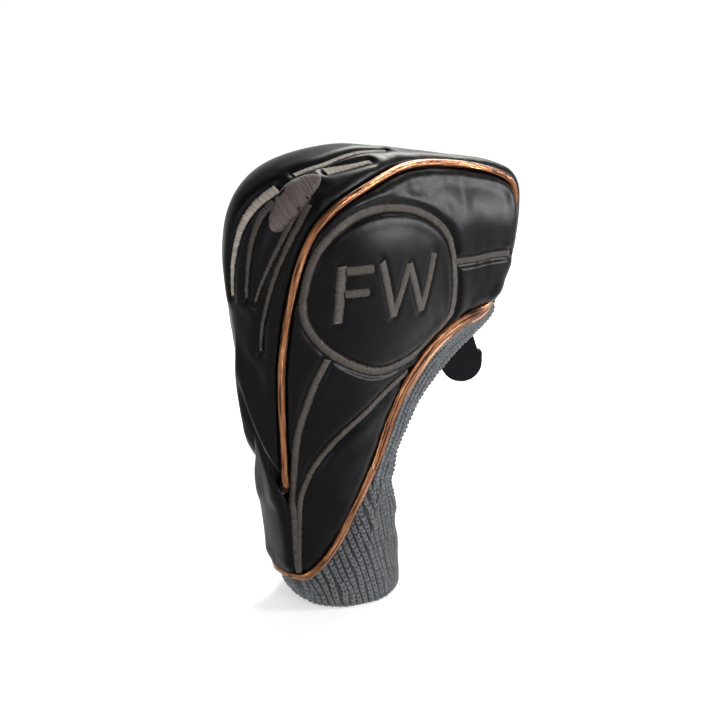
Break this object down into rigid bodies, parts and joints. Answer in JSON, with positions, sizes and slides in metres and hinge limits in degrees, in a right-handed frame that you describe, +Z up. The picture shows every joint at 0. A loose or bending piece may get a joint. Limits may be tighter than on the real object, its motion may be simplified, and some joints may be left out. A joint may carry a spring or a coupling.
{
  "type": "golf club head cover",
  "caption": "Padded faux-leather head cover for a fairway wood, with copper piping, embroidered sides, a long rib-knit neck and a hanging number tag.",
  "frame": {"origin": "on the floor under the middle of the cover's bounding box", "axes": "+X towards the toe of the club head, -Y towards the lettered side, +Z up; the shell and neck are mirrored about y = 0"},
  "size_m": [0.1768, 0.0782, 0.2385],
  "materials": {
    "leather": "fine grain, semi-gloss black faux leather",
    "foam": "open-cell padding foam",
    "lining": "short brushed pile",
    "copper_trim": "wrinkled metallic copper faux leather",
    "knit": "chunky rib knit, mid grey",
    "elastic": "woven elastic tape",
    "thread": "satin-stitched taupe thread",
    "pale_thread": "satin-stitched cream thread",
    "tag_plastic": "moulded, slightly glossy",
    "dial_plastic": "moulded, satin black",
    "rivet_steel": "black-finished eyelet",
    "webbing": "narrow woven webbing"
  },
  "bodies": {
    "cover": {"back_foam": "foam", "back_lining": "lining", "back_panel": "leather", "back_piping": "copper_trim", "back_ring_stitch": "thread", "back_sweep_inner_stitch": "thread", "back_sweep_outer_stitch": "thread", "back_toe_stitch": "thread", "crown_emblem": "thread", "crown_foam": "foam", "crown_lining": "lining", "crown_panel": "leather", "crown_trail_1": "pale_thread", "crown_trail_2": "pale_thread", "crown_trail_3": "thread", "crown_trail_4": "thread", "crown_trail_5": "pale_thread", "crown_trail_6": "pale_thread", "front_foam": "foam", "front_lining": "lining", "front_panel": "leather", "front_piping": "copper_trim", "front_ring_stitch": "thread", "front_sweep_inner_stitch": "thread", "front_sweep_outer_stitch": "thread", "front_toe_stitch": "thread", "hem_binding": "copper_trim", "knit_sock": "knit", "letter_f": "thread", "letter_w": "thread", "neck_elastic": "elastic", "tag_loop": "webbing"},
    "tag": {"tag_front_plate": "tag_plastic", "tag_back_plate": "tag_plastic", "tag_rivet": "rivet_steel"},
    "dial": {"number_dial": "dial_plastic"}
  },
  "joints": [
    {"name": "tag_swing", "type": "hinge", "parent": "cover", "child": "tag", "pos_m": [0.0669, 0.0221, 0.1368], "axis": [0.848, -0.5299, 0], "range_deg": [-12, 75]},
    {"name": "dial_spin", "type": "hinge", "parent": "tag", "child": "dial", "pos_m": [0.07029, 0.01998, 0.1093], "axis": [0.5299, 0.848, 0], "continuous": true}
  ]
}
